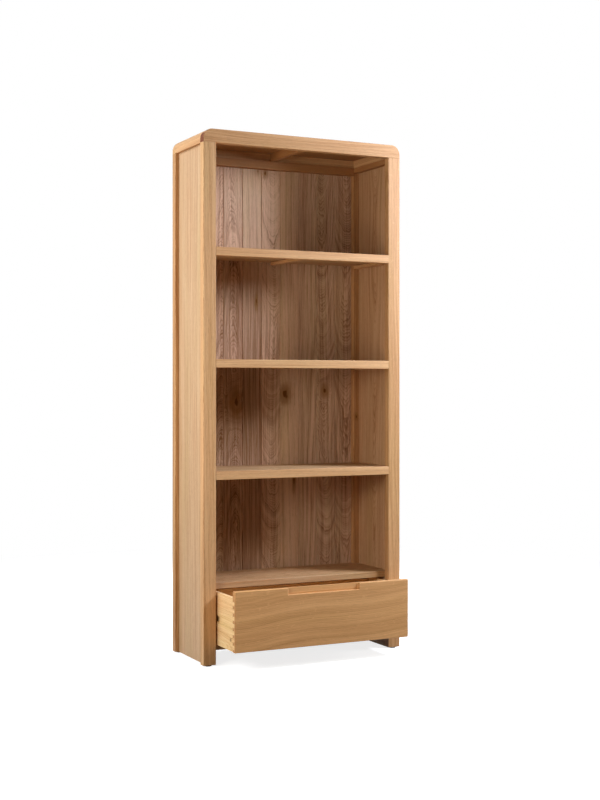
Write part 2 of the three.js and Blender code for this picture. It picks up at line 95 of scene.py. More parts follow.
def operator(name: str, reflected: bool = False) -> Callable[["Signal", "Operand"], "Signal"]:
    """Make the method for an operator on signals.

    It adds a Math node, or a Vector Math node if the signal is a vector.

    Args:
        name: The name of the node's operation.
        reflected: Whether the signal is the right operand.

    Returns:
        The method.
    """

    def method(self: "Signal", other: "Operand") -> "Signal":
        """Add the node and give its output."""
        vector = self.socket.type in {"VECTOR", "RGBA"}
        kind = "ShaderNodeVectorMath" if vector else "ShaderNodeMath"
        first, second = (other, self) if reflected else (self, other)
        return self.shader.node(kind, {"operation": name}, {0: first, 1: second})

    return method


@dataclass(frozen=True)
class Signal:
    """A shader node's output, with operators that add nodes."""

    shader: "Shader"
    source: bpy.types.Node
    name: Key = 0

    @property
    def socket(self) -> bpy.types.NodeSocket:
        """The output's socket."""
        return self.shader.socket(self.source.outputs, self.name)

    def output(self, name: Key) -> "Signal":
        """Another output of the same node."""
        return replace(self, name=name)

    def swing(self, reach: float) -> "Signal":
        """Turn this, from 0 to 1, into a number from -reach to reach."""
        return (self - 0.5) * (2 * reach)

    __add__ = operator("ADD")
    __radd__ = operator("ADD", reflected=True)
    __sub__ = operator("SUBTRACT")
    __rsub__ = operator("SUBTRACT", reflected=True)
    __mul__ = operator("MULTIPLY")
    __rmul__ = operator("MULTIPLY", reflected=True)
    __truediv__ = operator("DIVIDE")
    __pow__ = operator("POWER")


Operand = Signal | float | Colour
Inputs = dict[int, Operand] | dict[str, Operand]


@dataclass(frozen=True)
class Shader:
    """A node tree that is being written."""

    tree: bpy.types.NodeTree

    @classmethod
    def of(cls, owner: bpy.types.Material | bpy.types.World) -> "Shader":
        """Clear the nodes of a new material or world, to write its own."""
        owner.use_nodes = True
        owner.node_tree.nodes.clear()
        return cls(owner.node_tree)

    def node(
        self,
        kind: str,
        settings: dict[str, object] | None = None,
        inputs: Inputs | None = None,
        output: Key = 0,
    ) -> Signal:
        """Add a node, set it up and feed its sockets.

        Args:
            kind: The node's type.
            settings: What is set on the node itself. Stops are the places and colours of a ramp.
            inputs: Values or signals by the name or number of the socket.
            output: The name or number of the output to return.

        Returns:
            That output.
        """
        node = self.tree.nodes.new(kind)
        for name, value in (settings or {}).items():
            if name == "stops":
                self._set_stops(node.color_ramp, value)
            else:
                setattr(node, name, value)
        for key, value in (inputs or {}).items():
            socket = self.socket(node.inputs, key)
            if isinstance(value, Signal):
                self.tree.links.new(value.socket, socket)
            elif socket.type == "RGBA" and len(value) == 3:
                socket.default_value = (*value, 1.0)
            else:
                socket.default_value = value
        return Signal(self, node, output)

    @staticmethod
    def _set_stops(ramp: bpy.types.ColorRamp, stops: Iterable[tuple[float, Colour]]) -> None:
        """Give a ramp its stops.

        Args:
            ramp: The ramp, which starts with two stops.
            stops: The place and colour of each stop, in order.
        """
        for index, (place, shade) in enumerate(stops):
            stop = ramp.elements[index] if index < 2 else ramp.elements.new(place)
            stop.position = place
            stop.color = (*shade, 1.0)

    @staticmethod
    def socket(sockets: bpy.types.bpy_prop_collection, key: Key) -> bpy.types.NodeSocket:
        """Find a socket by its number, or by its name among those that are in use."""
        if isinstance(key, int):
            return sockets[key]
        return next(socket for socket in sockets if socket.name == key and socket.enabled)

    def maths(self, operation: str, *operands: Operand) -> Signal:
        """Add a Math node for an operation that has no operator here."""
        return self.node("ShaderNodeMath", {"operation": operation}, dict(enumerate(operands)))

    def place(self) -> Signal:
        """Read each point's place in the frame."""
        return self.node("ShaderNodeTexCoord", output="Object")

    def facing(self, axis: int) -> Signal:
        """Tell how squarely the surface faces along an axis, from 0 to 1 for either way."""
        normal = self.parted(self.node("ShaderNodeTexCoord", output="Normal"))[axis]
        return normal * normal

    def noise(
        self,
        place: Signal,
        rates: Rates,
        detail: float = 2.0,
        roughness: float = 0.5,
        output: str = "Fac",
    ) -> Signal:
        """Add noise whose cells are stretched differently along each axis.

        Args:
            place: Where the noise is read.
            rates: How many cells there are to a metre along each axis.
            detail: How many finer layers are added.
            roughness: How strong the finer layers are.
            output: The value or the colour of the noise.

        Returns:
            The noise, from 0 to 1.
        """
        return self.node(
            "ShaderNodeTexNoise",
            {"noise_dimensions": "3D"},
            {"Vector": place * rates, "Scale": 1.0, "Detail": detail, "Roughness": roughness},
            output,
        )

    def line_noise(self, place: Signal, detail: float = 1.0, output: str = "Fac") -> Signal:
        """Add noise along a line.

        Args:
            place: The place on the line, with one cell to a unit.
            detail: How many finer layers are added.
            output: The value or the colour of the noise.

        Returns:
            The noise, from 0 to 1.
        """
        return self.node(
            "ShaderNodeTexNoise",
            {"noise_dimensions": "1D"},
            {"W": place, "Scale": 1.0, "Detail": detail},
            output,
        )

    def step(self, value: Signal, low: float, high: float) -> Signal:
        """Add a soft step from 0 at low to 1 at high.

        Args:
            value: What is compared.
            low: Where the step starts.
            high: Where it ends, below low for a step downwards.

        Returns:
            The step, from 0 to 1.
        """
        if low > high:
            return 1.0 - self.step(value, high, low)
        return self.node(
            "ShaderNodeMapRange",
            {"interpolation_type": "SMOOTHSTEP"},
            {"Value": value, "From Min": low, "From Max": high},
        )

    def mixed(self, share: Operand, first: Operand, second: Operand, blend: str = "MIX") -> Signal:
        """Blend two colours.

        Args:
            share: How much of the second shows.
            first: The colour underneath.
            second: The colour that is laid over it.
            blend: The way in which they are blended.

        Returns:
            The blended colour.
        """
        return self.node(
            "ShaderNodeMix",
            {"data_type": "RGBA", "blend_type": blend, "clamp_factor": True},
            {"Factor": share, "A": first, "B": second},
            "Result",
        )

    def parted(self, vector: Signal) -> tuple[Signal, Signal, Signal]:
        """Take a vector or a colour apart into its three numbers."""
        first = self.node("ShaderNodeSeparateXYZ", inputs={0: vector})
        return first, first.output(1), first.output(2)

    def joined(self, x: Operand, y: Operand, z: Operand) -> Signal:
        """Put three numbers together into a vector."""
        return self.node("ShaderNodeCombineXYZ", inputs={0: x, 1: y, 2: z})

    def bump(self, height: Signal, depth: float) -> Signal:
        """Turn heights from 0 to 1 into a normal.

        Args:
            height: The heights.
            depth: How far 1 stands above 0.

        Returns:
            The normal.
        """
        inputs = {"Strength": 1.0, "Distance": depth, "Height": height}
        return self.node("ShaderNodeBump", inputs=inputs)

    def surface(self, inputs: Inputs) -> None:
        """End the material in a surface.

        Args:
            inputs: Values or signals by the name of the surface's socket.
        """
        surface = self.node("ShaderNodeBsdfPrincipled", inputs=inputs)
        self.node("ShaderNodeOutputMaterial", inputs={"Surface": surface})


# Wood


class Lie(Enum):
    """How a board lies: the axes along its grain, across its show face and into its depth."""

    UPRIGHT_FRONT = (Z, X, Y)
    UPRIGHT_SIDE = (Z, Y, X)
    LEVEL_FRONT = (X, Z, Y)
    LEVEL_TOP = (X, Y, Z)
    DEEP_SIDE = (Y, Z, X)
    DEEP_TOP = (Y, X, Z)


class Cut(Enum):
    """How a board was sawn: how far its log's heart lies from the board's middle.

    The first pair is the least and most distance across the show face, the second into the depth.
    """

    PLAIN = ((0.0, 0.012), (0.05, 0.085))
    RIFT = ((0.075, 0.12), (0.05, 0.09))
    QUARTER = ((0.13, 0.19), (0.0, 0.02))


@dataclass(frozen=True)
class Knot:
    """A knot, or the dark streak that a buried one leaves.

    The place is across the show face and along the grain, in the frame's axes. The core, the halo
    and the push on the rings fade in between two distances from the middle. Those distances and
    the raggedness of the edge are counted in radii.
    """

    across: float
    along: float
    radius: float
    stretch: float = 1.7
    darkness: float = 0.85
    raggedness: float = 1.3
    core: Span = (1.3, 0.1)
    halo: Span = (4.2, 0.4)
    halo_share: float = 0.42
    push: Span = (5.0, 0.2)
    push_share: float = 0.9


Trait = float | tuple[Knot, ...]
Figure = dict[str, Trait]


@dataclass(frozen=True)
class Board:
    """Where in its log a board lay, which settles its figure.

    The heart is given by its distance from the board's middle, and the shift is how far along the
    log the board lay. The tone makes it paler. The lower painted shade is painted shade that makes
    the board darker towards the low end of its grain, fading out over the painted shade fade, a
    stretch measured from the middle. A ring is as wide as a year's growth. The lean is how fast the
    heart draws away into the depth along the grain, and the slope how fast it does so across the
    show face. The wander and the dip are how far the heart strays from that line across the face
    and in depth, and the flame is how far the rings are ruffled. The stave is the width of the
    strips that a board is glued from, or 0 for a whole one. The redness and the end shade are how
    strongly russet and the colour of sawn ends are laid on.
    """

    SHIFTS = (0.0, 60.0)
    TONES = (-0.035, 0.035)
    LEANS = (0.03, 0.055)
    SLOPES = (-0.012, 0.012)

    lie: Lie
    heart_across: float
    heart_depth: float
    shift: float
    tone: float = 0.0
    # Painted shade: darker towards the low end of the grain, fading out over a stretch from the
    # middle.
    lower_painted_shade: float = 0.0
    painted_shade_fade: Span = (0.0, 0.75)
    ring: float = 2.2 * MM
    lean: float = 0.04
    slope: float = 0.0
    wander: float = 9 * MM
    dip: float = 4 * MM
    wander_rate: float = 1.6
    flame: float = 1.1 * MM
    stave: float = 0.0
    redness: float = 0.0
    end_shade: float = 1.0
    knots: tuple[Knot, ...] = ()

    @classmethod
    def sawn(cls, name: str, lie: Lie, cut: Cut, **figure: Trait) -> "Board":
        """Pick a board, which is always the same one for a name.

        Args:
            name: The piece that it is for.
            lie: How it lies in the bookcase.
            cut: How it was sawn.
            figure: Fields that are given.

        Returns:
            The board.
        """
        draw = random.Random(name)
        across, depth = (draw.uniform(*reach) for reach in cut.value)
        board = cls(
            lie=lie,
            heart_across=across * draw.choice((-1, 1)),
            heart_depth=depth,
            shift=draw.uniform(*cls.SHIFTS),
            tone=draw.uniform(*cls.TONES),
            lean=draw.uniform(*cls.LEANS) * draw.choice((-1, 1)),
            slope=draw.uniform(*cls.SLOPES),
        )
        return replace(board, **figure)


@dataclass(frozen=True)
class Grain:
    """The place of each point in the log that its board was sawn from, and what grew there.

    The flow is the same place, drawn straight where the grain wanders. The ruffle is in the rings'
    edges, and both the tone and the drift change the colour. The stave constants are how much the
    strips of a glued board differ. Rates are how many cells of noise go into a metre. The season is
    how dark the wood is at each share of a year, and a spell is a run of darker or paler years.
    """

    STAVE_ACROSS = 0.08
    STAVE_DEPTH = 0.05
    STAVE_SHIFT = 7.0
    STAVE_TONE = 0.045
    RUFFLE_RATES = (60.0, 60.0, 26.0)
    WAVE_RATES = (22.0, 22.0, 5.0)
    WAVE_SHARE = 1.5
    UNEVEN_RATE = 0.31
    UNEVEN_YEARS = 1.8
    SPELL_RATE = 0.22
    SPELL_SHIFT = 7.3
    SPELL_CONTRAST = (0.1, 1.6)
    SPELL_SWING = 0.45
    SEASON = ((0.0, 0.85), (0.08, 1.0), (0.32, 0.45), (0.8, 0.0), (1.0, 0.85))
    RAY_RATES = (95.0, 30.0, 55.0)
    FLECK_EDGES = (0.66, 0.74)

    shader: Shader
    board: Board
    axes: tuple[Signal, ...]
    in_log: Signal
    in_flow: Signal
    from_heart: tuple[Signal, Signal]
    radius: Signal
    ruffle: Signal
    along: Signal
    tone: Operand
    drift: Signal

    @classmethod
    def of_board(cls, shader: Shader, middle: Vector, board: Board) -> "Grain":
        """Work out the places.

        Args:
            shader: The shader to write in.
            middle: The middle of the piece.
            board: The board.

        Returns:
            The grain.
        """
        axes = shader.parted(shader.place())
        run, across, depth = (axes[axis] - middle[axis] for axis in board.lie.value)
        along = run + board.shift
        heart_across: Operand = board.heart_across
        heart_depth: Operand = board.heart_depth
        tone: Operand = board.tone
        if board.stave:
            stave = shader.maths("ROUND", across / board.stave)
            settings = {"noise_dimensions": "1D"}
            seed = {"W": stave + board.shift}
            draw = shader.node("ShaderNodeTexWhiteNoise", settings, seed, "Color")
            sideways, deeper, lighter = shader.parted(draw)
            across = across - stave * board.stave
            along = along + lighter * cls.STAVE_SHIFT
            heart_across = sideways.swing(cls.STAVE_ACROSS) + board.heart_across
            heart_depth = deeper * cls.STAVE_DEPTH + board.heart_depth
            tone = lighter.swing(cls.STAVE_TONE) + board.tone
        # Painted shade: the board is painted darker towards the low end of its grain.
        if board.lower_painted_shade:
            tone = shader.step(run, *board.painted_shade_fade) * board.lower_painted_shade + tone
        drifts = shader.line_noise(along * board.wander_rate, output="Color")
        drift_across, drift_depth, drift = shader.parted(drifts)
        from_across = across - heart_across + run * board.slope + drift_across.swing(board.wander)
        from_depth = depth + heart_depth + run * board.lean + drift_depth.swing(board.dip)
        in_log = shader.joined(across, depth, along)
        ruffle = shader.noise(in_log, cls.RUFFLE_RATES, detail=2.0, roughness=0.6)
        waves = shader.noise(in_log, cls.WAVE_RATES, detail=1.0)
        radius = (from_across * from_across + from_depth * from_depth) ** 0.5
        radius = radius + waves.swing(cls.WAVE_SHARE * board.flame) + ruffle.swing(board.flame)
        return cls(
            shader=shader,
            board=board,
            axes=axes,
            in_log=in_log,
            in_flow=shader.joined(from_across, depth, along),
            from_heart=(from_across, from_depth),
            radius=radius,
            ruffle=ruffle,
            along=along,
            tone=tone,
            drift=drift,
        )

    def knots(self) -> tuple[Operand, Operand]:
        """Write the board's knots.

        Returns:
            How dark the knots are at a point, and how far they push the rings outwards.
        """
        step = self.shader.step
        mask: Operand = 0.0
        bulge: Operand = 0.0
        along_axis, across_axis, _ = self.board.lie.value
        for knot in self.board.knots:
            sideways = self.axes[across_axis] - knot.across
            lengthways = (self.axes[along_axis] - knot.along) / knot.stretch
            near = (sideways * sideways + lengthways * lengthways) ** 0.5 / knot.radius
            ragged = self.ruffle.swing(knot.raggedness) + near
            core = step(ragged, *knot.core) * knot.darkness
            halo = step(ragged, *knot.halo) * (knot.halo_share * knot.darkness)
            mask = self.shader.maths("MAXIMUM", mask, self.shader.maths("MAXIMUM", core, halo))
            bulge = step(near, *knot.push) * (knot.push_share * knot.radius) + bulge
        return mask, bulge

    def earlywood(self, bulge: Operand) -> Signal:
        """Write the rings, dark where each year starts and fading, in spells of years.

        Args:
            bulge: How far the knots push the rings outwards.

        Returns:
            How much of the first wood's colour shows, from 0 to 1.
        """
        shader = self.shader
        years = (self.radius + bulge) / self.board.ring
        uneven = shader.line_noise(years * self.UNEVEN_RATE, detail=2.0)
        years = years + uneven * self.UNEVEN_YEARS
        spell = shader.line_noise(years * self.SPELL_RATE + self.SPELL_SHIFT, detail=3.0)
        stops = [(place, (shade,) * 3) for place, shade in self.SEASON]
        season = {0: shader.maths("FRACT", years)}
        early = shader.node("ShaderNodeValToRGB", {"stops": stops}, season, "Color")
        least, more = self.SPELL_CONTRAST
        return shader.parted(early)[0] * (spell * more + least) + spell.swing(self.SPELL_SWING)

    def flecks(self) -> Signal:
        """Write the pale flecks where the rays come to the surface, from 0 to 1."""
        turn = self.shader.maths("ARCTAN2", *self.from_heart)
        at_ray = self.shader.joined(turn, self.radius, self.along)
        return self.shader.step(
            self.shader.noise(at_ray, self.RAY_RATES, detail=1.0), *self.FLECK_EDGES,
        )


# Finishes


@dataclass(frozen=True)
class Finish:
    """What every finish has: its name and the record's slot that it belongs to."""

    name: str
    slot: str

    def dress(self, piece: Piece, board: Board | None = None) -> None:
        """Put the finish on a piece.

        Args:
            piece: The piece, which has its place in its mesh.
            board: The board that it was made of, if it is wood.
        """
        material = bpy.data.materials.new(f"{piece.name}_{self.name}")
        shader = Shader.of(material)
        shader.surface(self.look(shader, piece, board))
        piece.data.materials.clear()
        piece.data.materials.append(material)

    def look(self, shader: Shader, piece: Piece, board: Board | None) -> Inputs:
        """Write the nodes of the finish.

        Args:
            shader: The empty shader.
            piece: The piece that it is for.
            board: The board that it was made of, if it is wood.

        Returns:
            Values or signals by the name of the surface's socket.
        """
        raise NotImplementedError


@dataclass(frozen=True)
class OakFinish(Finish):
    """Oak under a matt lacquer.

    Its colour lies on a ramp from pale over middling to deep. Plain wood has its own share of the
    ramp, and rings, streaks, fibre, flecks and tone move away from that. Rates are how many cells
    of noise go into a metre, and edges are where a soft step starts and ends.
    """

    pale: Colour
    middling: Colour
    deep: Colour
    rings: float = 0.5
    streaks: float = 0.55
    streak_width: float = 7 * MM
    streak_length: float = 60.0
    fibre: float = 0.35
    fibre_rates: Rates = (480.0, 480.0, 9.0)
    pores: float = 0.5
    pore_rates: Rates = (1500.0, 1500.0, 60.0)
    pore_edges: Span = (0.56, 0.7)
    latewood_pores: float = 0.25
    flecks: float = 0.12
    tones: float = 4.0
    plain_share: float = 0.42
    middling_share: float = 0.45
    earlywood_share: float = 0.4
    hues: float = 0.5
    hue_rates: Rates = (14.0, 14.0, 1.3)
    hue_drift: float = 0.15
    olive: Colour = (0.9, 1.0, 0.8)
    olive_edges: Span = (0.5, 0.72)
    russet: Colour = (1.0, 0.88, 0.84)
    russet_edges: Span = (0.5, 0.3)
    pore_colour: Colour = colour("#5d3f25")
    knot_colour: Colour = colour("#6a411a")
    knot_edges: Span = (0.4, 0.9)
    rim_colour: Colour = colour("#936839")
    rim_edges: Span = (0.0, 0.45)
    rim_share: float = 0.8
    end_grain: Colour = colour("#98705a")
    end_edges: Span = (0.35, 0.8)
    roughness: float = 0.44
    earlywood_roughness: float = 0.05
    pore_roughness: float = 0.12
    fibre_roughness: float = 0.04
    end_roughness: float = 0.12
    gloss: float = 0.13
    coat: float = 0.015
    coat_roughness: float = 0.32
    relief: float = 0.12 * MM
    fibre_height: float = 0.25
    pore_depth: float = 0.6
    earlywood_depth: float = 0.2

    def look(self, shader: Shader, piece: Piece, board: Board | None) -> Inputs:
        """Write the nodes of the finish.

        Args:
            shader: The empty shader.
            piece: The piece that it is for.
            board: The board that it was made of.

        Returns:
            Values or signals by the name of the surface's socket.
        """
        low, high = box_of(piece)
        grain = Grain.of_board(shader, (low + high) / 2, board)
        knot_mask, bulge = grain.knots()
        early = grain.earlywood(bulge)
        rate = 1.0 / self.streak_width
        streak_rates = (rate, rate, rate / self.streak_length)
        streak = shader.noise(grain.in_flow, streak_rates, detail=3.0, roughness=0.65)
        fibre = shader.noise(grain.in_log, self.fibre_rates, detail=3.0, roughness=0.65)
        pore = shader.step(
            shader.noise(grain.in_log, self.pore_rates, detail=1.0), *self.pore_edges,
        )
        pore = pore * (early * (1.0 - self.latewood_pores) + self.latewood_pores)

        share = (
            (early - self.earlywood_share) * self.rings
            + streak.swing(self.streaks)
            + fibre.swing(self.fibre)
            - grain.flecks() * self.flecks
            - grain.tone * self.tones
            + self.plain_share
        )
        stops = [(0.0, self.pale), (self.middling_share, self.middling), (1.0, self.deep)]
        wood = shader.node("ShaderNodeValToRGB", {"stops": stops}, {0: share}, "Color")
        hue = shader.noise(grain.in_log, self.hue_rates) + grain.drift.swing(self.hue_drift)
        olive_share = shader.step(hue, *self.olive_edges) * self.hues
        russet_share = shader.step(hue, *self.russet_edges) * self.hues + board.redness
        wood = shader.mixed(olive_share, wood, self.olive, "MULTIPLY")
        wood = shader.mixed(russet_share, wood, self.russet, "MULTIPLY")
        wood = shader.mixed(pore * self.pores, wood, self.pore_colour)
        if board.knots:
            rim_share = shader.step(knot_mask, *self.rim_edges) * self.rim_share
            wood = shader.mixed(rim_share, wood, self.rim_colour)
            wood = shader.mixed(shader.step(knot_mask, *self.knot_edges), wood, self.knot_colour)
        along_axis = board.lie.value[0]
        cut_end = shader.step(shader.facing(along_axis), *self.end_edges) * board.end_shade
        wood = shader.mixed(cut_end, wood, self.end_grain, "MULTIPLY")
        roughness = (
            early * self.earlywood_roughness
            + pore * self.pore_roughness
            + fibre.swing(self.fibre_roughness)
            + cut_end * self.end_roughness
            + self.roughness
        )
        height = fibre * self.fibre_height - pore * self.pore_depth - early * self.earlywood_depth
        return {
            "Base Color": wood,
            "Roughness": roughness,
            "Specular IOR Level": self.gloss,
            "Coat Weight": self.coat,
            "Coat Roughness": self.coat_roughness,
            "Normal": shader.bump(height, self.relief),
        }


@dataclass(frozen=True)
class PlyFinish(OakFinish):
    """Thin plywood, whose edges show its plies."""

    plies: int = 5
    glue: Colour = colour("#8a6540")
    glue_share: float = 0.6
    glue_edges: Span = (0.35, 0.65)
    facing_edges: Span = (0.5, 0.2)

    def look(self, shader: Shader, piece: Piece, board: Board | None) -> Inputs:
        """Write the nodes of the face veneer and of the plies on the edges.

        Args:
            shader: The empty shader.
            piece: The piece that it is for.
            board: The board that its face veneer came from.

        Returns:
            Values or signals by the name of the surface's socket.
        """
        veneered = super().look(shader, piece, board)
        veneer = veneered["Base Color"]
        low, high = box_of(piece)
        axis = board.lie.value[2]
        depth = shader.parted(shader.place())[axis] - low[axis]
        within = shader.maths("PINGPONG", depth * (self.plies / (high[axis] - low[axis])), 1.0)
        glued = shader.step(within, *self.glue_edges) * self.glue_share
        on_edge = shader.step(shader.facing(axis), *self.facing_edges)
        plies = shader.mixed(glued, veneer, self.glue)
        return veneered | {"Base Color": shader.mixed(on_edge, veneer, plies)}


@dataclass(frozen=True)
class PlasticFinish(Finish):
    """Moulded plastic with a fine grain, scuffed where it has stood."""

    base: Colour
    scuffed: Colour
    scuff_rates: Rates = (140.0, 140.0, 140.0)
    scuff_edges: Span = (0.52, 0.7)
    scuff_share: float = 0.6
    scuff_roughness: float = 0.25
    roughness: float = 0.5
    grain_rates: Rates = (2600.0, 2600.0, 2600.0)
    relief: float = 0.05 * MM

    def look(self, shader: Shader, piece: Piece, board: Board | None) -> Inputs:
        """Write the nodes of the finish.

        Args:
            shader: The empty shader.
            piece: The piece that it is for.
            board: Not used.

        Returns:
            Values or signals by the name of the surface's socket.
        """
        place = shader.place()
        scuff = shader.step(shader.noise(place, self.scuff_rates, detail=3.0), *self.scuff_edges)
        grain = shader.noise(place, self.grain_rates, detail=1.0)
        return {
            "Base Color": shader.mixed(scuff * self.scuff_share, self.base, self.scuffed),
            "Roughness": scuff * self.scuff_roughness + self.roughness,
            "Normal": shader.bump(grain, self.relief),
        }


@dataclass(frozen=True)
class SteelFinish(Finish):
    """Zinc-plated steel, as on a small screw."""

    base: Colour
    dull: Colour
    bloom_rates: Rates = (700.0, 700.0, 700.0)
    bloom_edges: Span = (0.4, 0.7)
    bloom_roughness: float = 0.25
    roughness: float = 0.3
    relief: float = 0.02 * MM

    def look(self, shader: Shader, piece: Piece, board: Board | None) -> Inputs:
        """Write the nodes of the finish.

        Args:
            shader: The empty shader.
            piece: The piece that it is for.
            board: Not used.

        Returns:
            Values or signals by the name of the surface's socket.
        """
        bloom = shader.noise(shader.place(), self.bloom_rates, detail=3.0)
        dulled = shader.step(bloom, *self.bloom_edges)
        return {
            "Base Color": shader.mixed(dulled, self.base, self.dull),
            "Metallic": 1.0,
            "Roughness": bloom * self.bloom_roughness + self.roughness,
            "Normal": shader.bump(bloom, self.relief),
        }


FRAME_OAK = OakFinish(
    "frame_oak", "oak_frame", colour("#dbb07e"), colour("#cb9a69"), colour("#a67345"),
    streaks=0.45, hues=0.25,
)
PANEL_OAK = OakFinish(
    "panel_oak", "oak_panel", colour("#d3b48f"), colour("#c49e77"), colour("#a67b52"),
    rings=0.35, hues=0.3,
)
SHELF_OAK = OakFinish(
    "shelf_oak", "oak_panel", colour("#c8a57b"), colour("#b99064"), colour("#9a6d43"),
    rings=0.45, hues=0.3,
)
BACK_OAK = OakFinish(
    "back_oak", "oak_back", colour("#dab595"), colour("#b48e71"), colour("#805b3a"),
    rings=0.48, streaks=0.75, fibre=0.6, hues=0.3, gloss=0.03, coat=0.0,
)
FRONT_OAK = OakFinish(
    "front_oak", "oak_frame", colour("#f3bd85"), colour("#dea76d"), colour("#b5804a"),
    rings=0.2, streaks=0.45, streak_width=26 * MM, fibre=0.25, pores=0.25, hues=0.1,
)
DRAWER_WOOD = OakFinish(
    "drawer_wood", "drawer_wood", colour("#f7d7a6"), colour("#ecc38d"), colour("#cd9960"),
    rings=0.35, streaks=0.4, pores=0.3, roughness=0.5,
)
DRAWER_PLY = PlyFinish(
    "drawer_ply", "drawer_plywood", colour("#ecd2a4"), colour("#dfc093"), colour("#c09a68"),
    rings=0.35, pores=0.3, coat=0.0, roughness=0.6,
)
RUNNER_WOOD = OakFinish(
    "runner_wood", "runner_wood", colour("#d2a873"), colour("#c0935e"), colour("#966a3d"),
    rings=0.35, coat=0.0, roughness=0.5,
)
GLIDE_PLASTIC = PlasticFinish(
    "glide_plastic", "glide_plastic", colour("#2c2521"), colour("#5d544c"),
)
SCREW_STEEL = SteelFinish("screw_steel", "oak_back", colour("#b9b4a8"), colour("#7d786e"))


# Modelling

WELD_REACH = 0.02 * MM
FLAT_ANGLE = math.radians(0.5)
CORNER_ANGLE = math.radians(25)
SAME_PLACE = 0.05 * MM
PARALLEL = 0.999


class Element(Enum):
    """What is picked in edit mode, by the name of its list in a mesh."""

    EDGE = "edges"
    FACE = "faces"


class Face(Enum):
    """A side of a piece's box: its axis, and whether it is the lower or the higher end."""

    FRONT = (Y, 0)
    BACK = (Y, 1)
    UNDERSIDE = (Z, 0)
    TOP = (Z, 1)


def box_of(piece: Piece) -> tuple[Vector, Vector]:
    """Find a piece's lowest and highest corners.

    Args:
        piece: A mesh whose place is in its vertices.

    Returns:
        The lowest and the highest corner.
    """
    places = [vertex.co for vertex in piece.data.vertices]
    low, high = (
        Vector(pick_end(place[axis] for place in places) for axis in range(3))
        for pick_end in (min, max)
    )
    return low, high


def take(piece: Piece) -> None:
    """Select one object alone and make it the active one."""
    bpy.ops.object.select_all(action="DESELECT")
    piece.select_set(True)
    bpy.context.view_layer.objects.active = piece


@contextmanager
def editing(piece: Piece) -> Iterator[None]:
    """Keep a piece in edit mode for a while, and leave nothing selected."""
    take(piece)
    bpy.ops.object.mode_set(mode="EDIT")
    yield
    bpy.ops.mesh.select_all(action="DESELECT")
    bpy.ops.object.mode_set(mode="OBJECT")


def pick(piece: Piece, kind: Element, chosen: Callable[[object], bool]) -> None:
    """Select edges or faces of the piece that is being edited.

    Args:
        piece: The piece, in edit mode.
        kind: Which of the two.
        chosen: Tells for each of them whether it is selected.
    """
    bpy.ops.mesh.select_mode(type=kind.name)
    bpy.ops.mesh.select_all(action="DESELECT")
    mesh = bmesh.from_edit_mesh(piece.data)
    for element in getattr(mesh, kind.value):
        element.select_set(chosen(element))
    bmesh.update_edit_mesh(piece.data)


def shaped(add: Callable[..., object], **sizes: object) -> Piece:
    """Add a simple solid or plane, with its place in its mesh.

    Args:
        add: What adds it.
        sizes: Its sizes and its place.

    Returns:
        The new object.
    """
    bpy.ops.object.select_all(action="DESELECT")
    add(**sizes)
    piece = bpy.context.active_object
    bpy.ops.object.transform_apply(location=True, rotation=True, scale=True)
    return piece


def placed(name: str, data: bpy.types.ID) -> Piece:
    """Put a mesh, lamp or camera into the scene as an object with this name."""
    thing = bpy.data.objects.new(name, data)
    bpy.context.scene.collection.objects.link(thing)
    return thing


def copy_of(node: str) -> Piece:
    """Copy a node of the frame into a piece of its own, with its loose triangles joined into faces.

    Args:
        node: The node's name.

    Returns:
        The piece, which stands for the node and rides on the node's body.
    """
    mesh = frame["nodes"][node].data.copy()
    mesh.name = f"{node}_finished"
    mesh.materials.clear()
    piece = placed(f"{node}_finished", mesh)
    with editing(piece):
        bpy.ops.mesh.select_all(action="SELECT")
        bpy.ops.mesh.remove_doubles(threshold=WELD_REACH)
        bpy.ops.mesh.dissolve_limited(angle_limit=FLAT_ANGLE)
    if piece.data.has_custom_normals:
        bpy.ops.mesh.customdata_custom_splitnormals_clear()
    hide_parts(node)
    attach(piece, next(body for body, nodes in BODIES.items() if node in nodes))
    return piece


def sticks_out(edge: Edge) -> bool:
    """Tell whether an edge is an outer corner between two faces."""
    return len(edge.link_faces) == 2 and edge.calc_face_angle_signed(0.0) > CORNER_ANGLE


def runs_along(edge: Edge, axis: int) -> bool:
    """Tell whether an edge is parallel to an axis."""
    way = edge.verts[1].co - edge.verts[0].co
    return abs(way[axis]) > PARALLEL * way.length


def at(edge: Edge, axis: int, place: float) -> bool:
    """Tell whether an edge lies wholly at a place on an axis."""
    return all(abs(vertex.co[axis] - place) < SAME_PLACE for vertex in edge.verts)


@dataclass(frozen=True)
class Easing:
    """A rounding over some of a piece's outer edges.

    It takes the edges in one face of the piece's box, and only those along an axis if it names one.
    Without a face, it takes the edges along the axis at the corners of the box.
    """

    radius: float
    face: Face | None = None
    along: int | None = None
    segments: int = 3

    def takes(self, edge: Edge, box: tuple[Vector, Vector]) -> bool:
        """Tell whether an edge is rounded.

        Args:
            edge: The edge.
            box: The lowest and the highest corner of its piece.

        Returns:
            Whether it sticks out and lies where the rounding goes.
        """
        if not sticks_out(edge) or (self.along is not None and not runs_along(edge, self.along)):
            return False
        if self.face:
            axis, end = self.face.value
            return at(edge, axis, box[end][axis])
        others = (axis for axis in range(3) if axis != self.along)
        return all(any(at(edge, axis, corner[axis]) for corner in box) for axis in others)

    def round_over(self, piece: Piece) -> None:
        """Round the edges of a piece.

        Args:
            piece: The piece.
        """
        box = box_of(piece)
        with editing(piece):
            pick(piece, Element.EDGE, lambda edge: self.takes(edge, box))
            bpy.ops.mesh.bevel(
                offset=self.radius, segments=self.segments, profile=0.5, affect="EDGES",
            )


def smoothed(piece: Piece, degrees: float = 32.0) -> None:
    """Shade a piece smooth over its rounded edges and flat on its faces.

    Args:
        piece: The piece.
        degrees: Faces that meet at more than this angle keep a crisp edge.
    """
    take(piece)
    bpy.ops.object.shade_smooth_by_angle(angle=math.radians(degrees))
    weighted = piece.modifiers.new("flat_faces", "WEIGHTED_NORMAL")
    weighted.keep_sharp = True
    bpy.ops.object.modifier_apply(modifier=weighted.name)


